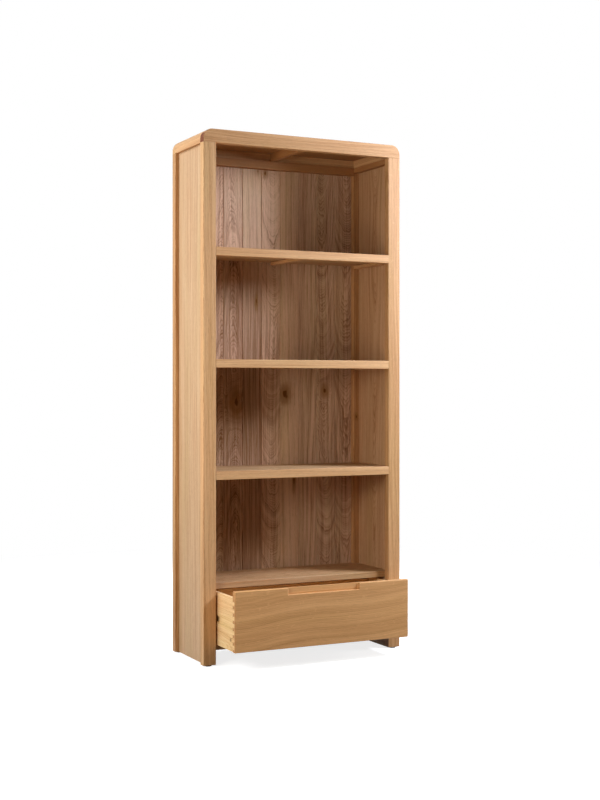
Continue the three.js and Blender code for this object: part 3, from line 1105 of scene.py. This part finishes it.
def wooden(
    name: str, finish: Finish, lie: Lie, cut: Cut, *easings: Easing, **figure: Trait,
) -> Piece:
    """Make a wooden piece in the shape of its node.

    Args:
        name: The node's name.
        finish: The piece's finish.
        lie: How its board lies.
        cut: How its board was sawn.
        easings: What is rounded over, in order.
        figure: The board's fields that are given.

    Returns:
        The piece.
    """
    piece = copy_of(name)
    for easing in easings:
        easing.round_over(piece)
    smoothed(piece)
    finish.dress(piece, Board.sawn(name, lie, cut, **figure))
    return piece


# The bookcase


class Assembly:
    """A part of the bookcase that is made of several pieces."""

    def build(self) -> list[Piece]:
        """Make its pieces and list them."""
        raise NotImplementedError


@dataclass
class Posts(Assembly):
    """The four posts that carry the bookcase."""

    arris: float = 1.3 * MM
    foot_arris: float = 0.8 * MM
    # Painted shade: the right front post, and more so the back posts, are painted darker for how
    # the light falls on them.
    left_tone: float = -0.005
    right_painted_shade: float = -0.055
    back_painted_shade: float = -0.09
    finish: OakFinish = FRAME_OAK
    back_knot: Knot = Knot(across=0.364, along=0.869, radius=4 * MM)

    def build(self) -> list[Piece]:
        """Make the posts."""
        return [self._post(row, side) for row in ROWS for side in SIDES]

    def _post(self, row: str, side: str) -> Piece:
        """Make one post.

        Args:
            row: Whether it is a front or a back one.
            side: Whether it is a left or a right one.

        Returns:
            The piece.
        """
        name = f"{row}_post_{side}"
        # The front posts' tones differ as painted shade: the right one is painted darker than the
        # left.
        front_tone = self.left_tone if side == "left" else self.right_painted_shade
        return wooden(
            name, self.finish, Lie.UPRIGHT_FRONT, Cut.RIFT,
            Easing(self.arris, along=Z), Easing(self.foot_arris, Face.UNDERSIDE),
            tone=front_tone if row == "front" else self.back_painted_shade,
            knots=(self.back_knot,) if name == "back_post_right" else (),
        )


@dataclass
class SidePanels(Assembly):
    """The panels between the posts, and the linings that fill the drawer's compartment."""

    figures: dict[str, Figure] = field(default_factory=lambda: {
        "left": dict(
            heart_across=0.2, heart_depth=0.15, ring=4.5 * MM, lean=0.012, tone=-0.03,
        ),
        "right": dict(heart_depth=0.07, dip=0.02, ring=1.8 * MM, redness=0.6),
    })
    finish: OakFinish = PANEL_OAK

    def build(self) -> list[Piece]:
        """Make the side panels and the linings."""
        return [
            wooden(f"{name}_{side}", self.finish, Lie.UPRIGHT_SIDE, Cut.PLAIN, **figure)
            for side, figure in self.figures.items()
            for name in ("side_panel", "drawer_lining")
        ]


@dataclass
class TopFrame(Assembly):
    """The round-cornered frame on the posts, with its panel, batten and inner rails."""

    arris: float = 1.5 * MM
    inner_arris: float = 0.8 * MM
    stave: float = 0.07
    front_tone: float = -0.05
    # Painted shade: the inner rails, the batten and the top panel are painted darker for the shade
    # under the top.
    inner_painted_shade: float = -0.19
    finish: OakFinish = FRAME_OAK
    panel_finish: OakFinish = SHELF_OAK

    def build(self) -> list[Piece]:
        """Make the top frame.

        Returns:
            The pieces.
        """
        front, back = (Easing(self.arris, face) for face in (Face.FRONT, Face.BACK))
        return [
            self._bar("top_front_rail", Lie.LEVEL_FRONT, front, tone=self.front_tone),
            self._bar("top_back_rail", Lie.LEVEL_FRONT, back, end_shade=0.0),
            *(self._bar(f"top_side_rail_{side}", Lie.DEEP_SIDE) for side in SIDES),
            # The top panel carries the inner painted shade, so it also looks darker from above.
            wooden(
                "top_panel", self.panel_finish, Lie.LEVEL_TOP, Cut.PLAIN,
                stave=self.stave, tone=self.inner_painted_shade,
            ),
            self._shaded_inner_bar("top_batten", Lie.DEEP_TOP),
            *(self._shaded_inner_bar(f"upper_side_rail_{side}", Lie.DEEP_SIDE) for side in SIDES),
            self._shaded_inner_bar("upper_back_rail", Lie.LEVEL_FRONT),
        ]

    def _bar(self, name: str, lie: Lie, *easings: Easing, **figure: float) -> Piece:
        """Make a rail or batten.

        Args:
            name: Its node.
            lie: How it lies.
            easings: What is rounded over.
            figure: The board's fields that are given.

        Returns:
            The piece.
        """
        return wooden(name, self.finish, lie, Cut.RIFT, *easings, **figure)

    def _shaded_inner_bar(self, name: str, lie: Lie) -> Piece:
        """Make a rail or batten inside the carcase, painted darker as painted shade, with its long
        edges eased.
        """
        long_edges = Easing(self.inner_arris, along=lie.value[0])
        return self._bar(name, lie, long_edges, tone=self.inner_painted_shade)


@dataclass
class BackBoards(Assembly):
    """The tongued and grooved boards that close the back, from the left."""

    # Painted shade: the lower painted shade makes the five left boards darker below, where the
    # lower bays lie in shade.
    boards: tuple[tuple[Cut, Figure], ...] = (
        (Cut.RIFT, dict(tone=-0.04, lower_painted_shade=0.08)),
        (Cut.PLAIN, dict(
            tone=-0.035, lower_painted_shade=0.08, heart_across=0.03, heart_depth=0.16, lean=0.032,
        )),
        (Cut.PLAIN, dict(
            tone=-0.045, lower_painted_shade=0.085, heart_across=0.002, heart_depth=0.18, lean=0.022,
            knots=(Knot(-0.146, 0.923, 12 * MM, stretch=2.2, darkness=1.0),),
        )),
        (Cut.RIFT, dict(
            tone=-0.045, lower_painted_shade=0.13,
            knots=(
                Knot(-0.054, 1.815, 7 * MM, darkness=0.5),
                Knot(-0.061, 1.318, 4.5 * MM, stretch=4.5),
            ),
        )),
        (Cut.PLAIN, dict(
            tone=0.012, lower_painted_shade=0.09, heart_across=0.004, lean=-0.05,
            knots=(Knot(-0.024, 1.809, 5 * MM),),
        )),
        (Cut.QUARTER, dict(
            tone=0.095,
            knots=(
                Knot(0.062, 0.96, 12 * MM, stretch=1.5, darkness=1.0),
                Knot(0.1, 0.622, 4 * MM, stretch=6),
            ),
        )),
        (Cut.RIFT, dict(tone=0.055, heart_across=0.07)),
        (Cut.PLAIN, dict(
            tone=0.03, heart_across=-0.014, heart_depth=0.19, lean=-0.04,
            knots=(Knot(0.234, 0.973, 7.5 * MM, stretch=1.6, darkness=1.0),),
        )),
        (Cut.PLAIN, dict(tone=0.01, heart_across=0.01, lean=-0.045, ring=0.65 * MM)),
    )
    flat_sawn: Figure = field(default_factory=lambda: dict(
        heart_depth=0.24, dip=0.011, flame=0.7 * MM, ring=0.5 * MM,
    ))
    wander_rate: float = 1.9
    finish: OakFinish = BACK_OAK

    def build(self) -> list[Piece]:
        """Make the boards.

        Returns:
            The pieces.
        """
        pieces = []
        for number, (cut, figure) in enumerate(self.boards, start=1):
            shared = self.flat_sawn if cut is Cut.PLAIN else {}
            pieces.append(wooden(
                f"back_board_{number}", self.finish, Lie.UPRIGHT_FRONT, cut,
                wander_rate=self.wander_rate, **(shared | figure),
            ))
        return pieces


@dataclass
class Shelves(Assembly):
    """The three fixed shelves and the base shelf over the drawer."""

    lip_arris: float = 1.5 * MM
    inner_arris: float = 0.8 * MM
    stave: float = 0.068
    lip_tone: float = 0.0
    top_lip_tone: float = -0.03
    base_tone: float = 0.02
    base_redness: float = 0.5
    finish: OakFinish = FRAME_OAK
    panel_finish: OakFinish = SHELF_OAK

    def build(self) -> list[Piece]:
        """Make the shelves.

        Returns:
            The pieces.
        """
        lip_edges, inner_edges = Easing(self.lip_arris, along=X), Easing(self.inner_arris, along=Y)
        pieces = []
        for shelf in SHELVES:
            tone = self.top_lip_tone if shelf == "upper" else self.lip_tone
            pieces.append(wooden(
                f"{shelf}_shelf_lip", self.finish, Lie.LEVEL_FRONT, Cut.RIFT, lip_edges, tone=tone,
            ))
            pieces.append(self._panel(f"{shelf}_shelf_panel"))
            for bar in ("batten", *(f"cleat_{side}" for side in SIDES)):
                name = f"{shelf}_shelf_{bar}"
                pieces.append(wooden(name, self.finish, Lie.DEEP_TOP, Cut.RIFT, inner_edges))
        front_edges = Easing(self.lip_arris, Face.FRONT, along=X)
        shade = dict(tone=self.base_tone, redness=self.base_redness)
        return [*pieces, self._panel("base_shelf", front_edges, **shade)]

    def _panel(self, name: str, *easings: Easing, **shade: float) -> Piece:
        """Make a shelf's panel.

        Args:
            name: Its node.
            easings: What is rounded over.
            shade: How pale and how red its wood is, if that is given.

        Returns:
            The piece.
        """
        return wooden(
            name, self.panel_finish, Lie.LEVEL_TOP, Cut.PLAIN, *easings, stave=self.stave, **shade,
        )


@dataclass
class BottomFrame(Assembly):
    """The rails, bearers and runners that carry the drawer."""

    arris: float = 1.0 * MM
    finish: OakFinish = FRAME_OAK
    runner_finish: OakFinish = RUNNER_WOOD

    def build(self) -> list[Piece]:
        """Make the bottom frame.

        Returns:
            The pieces.
        """
        across, deep = Easing(self.arris, along=X), Easing(self.arris, along=Y)
        bars = [
            *((f"bottom_{row}_rail", self.finish, Lie.LEVEL_FRONT, across) for row in ROWS),
            *((f"drawer_bearer_{side}", self.runner_finish, Lie.DEEP_TOP, deep) for side in SIDES),
            *((f"drawer_runner_{side}", self.runner_finish, Lie.DEEP_SIDE) for side in SIDES),
        ]
        return [wooden(name, finish, lie, Cut.RIFT, *easing) for name, finish, lie, *easing in bars]


@dataclass
class Glides(Assembly):
    """The plastic discs under the posts, each held by a pin in a hole."""

    edge: float = 0.6 * MM
    hole_radius: float = 3.5 * MM
    hole_depth: float = 1.8 * MM
    facets: int = 48
    finish: PlasticFinish = GLIDE_PLASTIC

    def build(self) -> list[Piece]:
        """Make the glides."""
        return [self._glide(f"{row}_glide_{side}") for row in ROWS for side in SIDES]

    def _glide(self, name: str) -> Piece:
        """Make one glide in the place of its node.

        Args:
            name: The node's name.

        Returns:
            The piece.
        """
        low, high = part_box(name)
        radius = (high.x - low.x) / 2
        glide = shaped(
            bpy.ops.mesh.primitive_cylinder_add,
            vertices=self.facets, radius=radius, depth=high.z - low.z, location=(low + high) / 2,
        )
        glide.name = glide.data.name = f"{name}_finished"
        with editing(glide):
            pick(glide, Element.FACE, lambda face: face.normal.z < -PARALLEL)
            bpy.ops.mesh.inset(thickness=radius - self.hole_radius)
            bpy.ops.mesh.extrude_region_move(
                TRANSFORM_OT_translate={"value": (0, 0, self.hole_depth)},
            )
        Easing(self.edge, Face.UNDERSIDE).round_over(glide)
        smoothed(glide)
        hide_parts(name)
        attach(glide, "carcase")
        self.finish.dress(glide)
        return glide


@dataclass
class Drawer(Assembly):
    """The dovetailed drawer."""

    arris: float = 2.0 * MM
    side_arris: float = 1.0 * MM
    front_figure: Figure = field(default_factory=lambda: dict(
        heart_across=-0.2, heart_depth=0.05, ring=4.2 * MM, lean=0.02, slope=-0.065,
        wander=26 * MM, wander_rate=2.0, flame=1.0 * MM, tone=-0.04, end_shade=0.35,
    ))
    side_figure: Figure = field(default_factory=lambda: dict(ring=2.6 * MM, tone=-0.025))
    side_knot: Knot = Knot(across=0.111, along=-0.19, radius=2.6 * MM, stretch=1.2)
    bottom_ring: float = 6.0 * MM
    front_finish: OakFinish = FRONT_OAK
    finish: OakFinish = DRAWER_WOOD
    bottom_finish: PlyFinish = DRAWER_PLY

    def build(self) -> list[Piece]:
        """Make the drawer.

        Returns:
            The pieces.
        """
        return [
            wooden(
                "drawer_front", self.front_finish, Lie.LEVEL_FRONT, Cut.PLAIN,
                Easing(self.arris, Face.FRONT), **self.front_figure,
            ),
            *(self._side(side) for side in SIDES),
            wooden(
                "drawer_back", self.finish, Lie.LEVEL_FRONT, Cut.PLAIN,
                Easing(self.side_arris, Face.TOP, along=X),
            ),
            wooden(
                "drawer_bottom", self.bottom_finish, Lie.LEVEL_TOP, Cut.PLAIN,
                ring=self.bottom_ring,
            ),
        ]

    def _side(self, side: str) -> Piece:
        """Make one side.

        Args:
            side: Whether it is the left or the right one.

        Returns:
            The piece.
        """
        knots = (self.side_knot,) if side == "left" else ()
        return wooden(
            f"drawer_side_{side}", self.finish, Lie.DEEP_SIDE, Cut.RIFT,
            Easing(self.side_arris, Face.TOP, along=Y), knots=knots, **self.side_figure,
        )


@dataclass
class Screws(Assembly):
    """Round-headed screws that hold the back boards and the drawer's bottom.

    The dome is how much of a head's height is rounded.
    """

    radius: float = 3.6 * MM
    height: float = 1.5 * MM
    dome: float = 0.85
    dome_segments: int = 4
    slot_length: float = 4.4 * MM
    slot_width: float = 1.1 * MM
    slot_depth: float = 0.9 * MM
    facets: int = 24
    crisp_degrees: float = 40.0
    bottom_count: int = 3
    finish: SteelFinish = SCREW_STEEL

    def build(self) -> list[Piece]:
        """Make both groups of screws."""
        return [self._behind_boards(), self._under_drawer()]

    def _head(self) -> Piece:
        """Model one head at the origin, with its face and its cross upwards.

        Returns:
            The head.
        """
        head = shaped(
            bpy.ops.mesh.primitive_cylinder_add,
            vertices=self.facets, radius=self.radius, depth=self.height,
            location=(0, 0, self.height / 2),
        )
        dome = Easing(self.height * self.dome, Face.TOP, segments=self.dome_segments)
        dome.round_over(head)
        for degrees in (0, 90):
            cutter = shaped(
                bpy.ops.mesh.primitive_cube_add,
                size=1, location=(0, 0, self.height), rotation=(0, 0, math.radians(degrees)),
                scale=(self.slot_length, self.slot_width, 2 * self.slot_depth),
            )
            take(head)
            cut = head.modifiers.new("slot", "BOOLEAN")
            cut.object = cutter
            cut.solver = "EXACT"
            bpy.ops.object.modifier_apply(modifier=cut.name)
            bpy.data.objects.remove(cutter)
        smoothed(head, self.crisp_degrees)
        return head

    def _group(self, name: str, body: str, places: Iterable[Matrix]) -> Piece:
        """Copy the head to each place and join the copies.

        Args:
            name: The group's name.
            body: The body that it rides on.
            places: Where each head goes.

        Returns:
            The group as one piece.
        """
        head = self._head()
        copies = []
        for place in places:
            mesh = head.data.copy()
            mesh.transform(place)
            copies.append(placed(name, mesh))
        bpy.data.objects.remove(head)
        take(copies[0])
        for copy in copies:
            copy.select_set(True)
        bpy.ops.object.join()
        group = bpy.context.active_object
        group.name = group.data.name = name
        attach(group, body)
        self.finish.dress(group)
        return group

    @staticmethod
    def _placing(point: Place, tilt: float, draw: random.Random) -> Matrix:
        """Work out how a head is put in its place.

        Args:
            point: Where it lies on the wood.
            tilt: How far it is tipped about X from facing upwards.
            draw: Picks how far its cross is turned.

        Returns:
            The matrix that moves it there.
        """
        spin = Matrix.Rotation(draw.uniform(0, math.pi), 4, "Z")
        return Matrix.Translation(point) @ Matrix.Rotation(tilt, 4, "X") @ spin

    def _behind_boards(self) -> Piece:
        """Put a screw through each board into every rail and shelf that it passes behind.

        Returns:
            The group.
        """
        held = [f"{name}_shelf_panel" for name in SHELVES]
        held += ["base_shelf", "bottom_back_rail", "upper_back_rail"]
        levels = [middle_level(node) for node in held]
        draw = random.Random("screws")
        places = []
        for number in range(1, len(BackBoards.boards) + 1):
            low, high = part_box(f"back_board_{number}")
            for level in levels:
                point = ((low.x + high.x) / 2, high.y, level)
                places.append(self._placing(point, math.radians(-90), draw))
        return self._group("back_board_screws", "carcase", places)

    def _under_drawer(self) -> Piece:
        """Put screws through the drawer's bottom into its back.

        Returns:
            The group.
        """
        low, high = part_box("drawer_back")
        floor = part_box("drawer_bottom")[0].z
        draw = random.Random("bottom screws")
        places = []
        for index in range(self.bottom_count):
            x = low.x + (high.x - low.x) * (index + 0.5) / self.bottom_count
            places.append(self._placing((x, (low.y + high.y) / 2, floor), math.pi, draw))
        return self._group("drawer_bottom_screws", "drawer", places)


def middle_level(node: str) -> float:
    """Find the height of a node's middle."""
    low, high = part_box(node)
    return (low.z + high.z) / 2


# The studio


@dataclass(frozen=True)
class Softbox:
    """A rectangular lamp that faces a place."""

    name: str
    place: Place
    size: Span
    power: float
    tint: Colour = (1.0, 1.0, 1.0)
    aim: Place = (0.0, 0.0, 0.95)

    def build(self) -> None:
        """Hang the lamp."""
        lamp = bpy.data.lights.new(self.name, "AREA")
        lamp.shape = "RECTANGLE"
        lamp.size, lamp.size_y = self.size
        lamp.energy = self.power
        lamp.color = self.tint
        holder = placed(self.name, lamp)
        holder.location = self.place
        way = Vector(self.aim) - Vector(self.place)
        holder.rotation_euler = way.to_track_quat("-Z", "Y").to_euler()


@dataclass
class Studio:
    """The floor, the background, the lamps and the camera.

    The bounce is the colour that the floor gives the light that it throws back. Where it is seen,
    it shows some of the light on it and is lifted towards white, which it reaches over the fade.
    The focal length and the horizon are in pixels of a picture of the image's height.
    """

    floor_reach: float = 30.0
    floor_bounce: Colour = (0.13, 0.085, 0.045)
    floor_shown: float = 0.55
    floor_lift: float = 0.8
    floor_fade: Span = (1.6, 3.2)
    camera_place: Place = (-2.1545, -4.3926, 0.9878)
    camera_turn: float = 26.3
    focal_pixels: float = 1320.4
    image_height: float = 800.0
    horizon: float = 386.7
    sensor: float = 36.0
    softboxes: tuple[Softbox, ...] = (
        Softbox("key", (1.75, -1.47, 2.0), (0.5, 0.5), 21.4, (1.02, 0.96, 0.87)),
        Softbox("key_wing", (1.57, -0.89, 1.95), (0.55, 0.65), 56.0, (0.87, 1.05, 1.42)),
        Softbox("right_low", (1.37, -0.29, 0.3), (0.6, 0.6), 9.5, (0.97, 1.02, 1.06)),
        Softbox("left_low", (-1.36, -0.85, 0.9), (0.6, 0.6), 6.3, (1.02, 0.97, 0.9)),
        Softbox("left", (-2.71, -1.7, 1.4), (0.6, 0.6), 20.5, (1.0, 1.0, 0.95)),
        Softbox("side", (-2.6, -0.09, 1.6), (1.0, 1.0), 29.5, (0.96, 1.02, 1.08)),
        Softbox("side_behind", (-2.41, 0.97, 2.4), (1.0, 1.0), 42.0, (0.94, 1.02, 1.12)),
        Softbox("behind", (0.9, 2.3, 1.7), (1.0, 1.0), 60.0, aim=(0.0, 0.2, 0.95)),
        Softbox("above", (0.1, 0.35, 4.0), (0.6, 0.6), 25.0, aim=(0.1, 0.1, 1.9)),
    )

    def build(self) -> None:
        """Set up the studio."""
        bpy.context.scene.view_settings.view_transform = "Standard"
        self._floor()
        self._background()
        for softbox in self.softboxes:
            softbox.build()
        self._camera()

    def _floor(self) -> None:
        """Lay a pale floor that shows the object's shadow and fades to white around it."""
        floor = shaped(bpy.ops.mesh.primitive_plane_add, size=2 * self.floor_reach)
        floor.name = "studio_floor"
        material = bpy.data.materials.new("studio_floor")
        shader = Shader.of(material)
        bounced = shader.node("ShaderNodeBsdfDiffuse", inputs={"Color": self.floor_bounce})
        lit = shader.node("ShaderNodeBsdfDiffuse", inputs={"Color": (self.floor_shown,) * 3})
        lift = shader.node("ShaderNodeEmission", inputs={"Strength": self.floor_lift})
        near = shader.node("ShaderNodeAddShader", inputs={0: lit, 1: lift})
        white = shader.node("ShaderNodeEmission", inputs={"Strength": 1.0})
        length = {"operation": "LENGTH"}
        away = shader.node("ShaderNodeVectorMath", length, {0: shader.place()}, "Value")
        faded = shader.step(away, *self.floor_fade)
        shown = shader.node("ShaderNodeMixShader", inputs={0: faded, 1: near, 2: white})
        seen = self._seen(shader)
        look = shader.node("ShaderNodeMixShader", inputs={0: seen, 1: bounced, 2: shown})
        shader.node("ShaderNodeOutputMaterial", inputs={"Surface": look})
        floor.data.materials.append(material)

    def _background(self) -> None:
        """Make the background white where it is seen, though it gives no light."""
        world = bpy.context.scene.world = bpy.data.worlds.new("studio")
        shader = Shader.of(world)
        inputs = {"Color": (1.0, 1.0, 1.0), "Strength": self._seen(shader)}
        light = shader.node("ShaderNodeBackground", inputs=inputs)
        shader.node("ShaderNodeOutputWorld", inputs={"Surface": light})

    @staticmethod
    def _seen(shader: Shader) -> Signal:
        """Tell rays that show a thing, straight or mirrored, from rays that carry its light."""
        path = shader.node("ShaderNodeLightPath", output="Is Camera Ray")
        mirrored = path.output("Is Glossy Ray") + path.output("Is Transmission Ray")
        return shader.node("ShaderNodeClamp", inputs={"Value": path + mirrored})

    def _camera(self) -> None:
        """Stand the camera where the photograph was taken from, level, with its frame shifted."""
        camera = bpy.data.cameras.new("camera")
        camera.sensor_width = self.sensor
        camera.lens = self.focal_pixels / self.image_height * self.sensor
        camera.shift_y = (self.horizon / self.image_height) - 0.5
        holder = placed("camera", camera)
        holder.location = self.camera_place
        holder.rotation_euler = (math.radians(90), 0, math.radians(-self.camera_turn))
        bpy.context.scene.camera = holder


ASSEMBLIES: tuple[type[Assembly], ...] = (
    Posts, SidePanels, TopFrame, BackBoards, Shelves, BottomFrame, Glides, Drawer, Screws,
)


def main() -> None:
    """Build the bookcase and its studio."""
    logging.basicConfig(level=logging.INFO, format="%(message)s")
    for assembly in ASSEMBLIES:
        for piece in assembly().build():
            LOG.info("%s: %s, %d faces", assembly.__name__, piece.name, len(piece.data.polygons))
    Studio().build()


if __name__ == "__main__":
    main()
